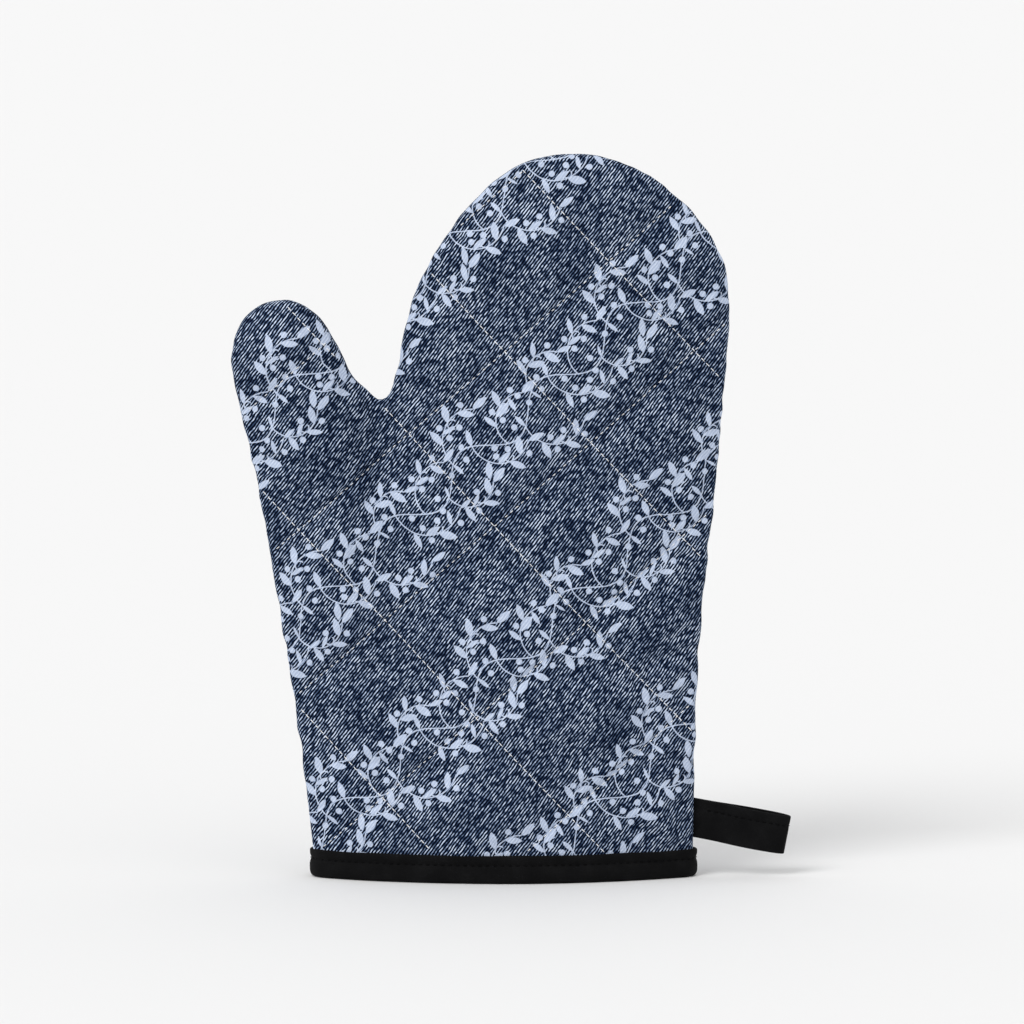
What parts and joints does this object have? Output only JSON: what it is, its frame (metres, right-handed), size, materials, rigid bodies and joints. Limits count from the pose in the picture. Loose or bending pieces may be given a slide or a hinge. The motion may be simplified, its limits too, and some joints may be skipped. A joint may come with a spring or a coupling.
{
  "type": "oven mitt",
  "caption": "Quilted oven mitt standing on its open bound cuff, with a rounded finger end, a separate thumb and a folded tape hanging loop in the side seam.",
  "frame": {"origin": "on the surface under the middle of the mitt, its hanging loop included, in the plane of the side seams", "axes": "+Z from the cuff's rim up to the finger tips, +X across the mitt from the thumb towards the hanging loop, +Y from the front panel to the back panel"},
  "size_m": [0.2166, 0.0528, 0.28],
  "materials": {
    "printed_denim": "matt woven twill with a pale sprig print",
    "batting": "matt fibrous wadding",
    "lining_cloth": "matt plain weave",
    "black_tape": "matt woven folded tape",
    "white_thread": "soft sheen thread",
    "black_thread": "soft sheen thread"
  },
  "bodies": {
    "mitt": {"outer_front": "printed_denim", "outer_back": "printed_denim", "batting_front": "batting", "batting_back": "batting", "lining_front": "lining_cloth", "lining_back": "lining_cloth", "quilting_stitches_front": "white_thread", "quilting_stitches_back": "white_thread", "side_seam_stitching": "black_thread", "lining_seam_stitching": "white_thread", "cuff_binding": "black_tape", "binding_topstitch": "black_thread"},
    "loop": {"hanging_loop": "black_tape", "loop_topstitch": "black_thread"}
  },
  "joints": [
    {"name": "loop_swing", "type": "hinge", "parent": "mitt", "child": "loop", "pos_m": [0.0734, 0, 0.0222], "axis": [0, 0, 1], "range_deg": [-85, 85], "stiffness_Nm_per_rad": 0.0006}
  ]
}
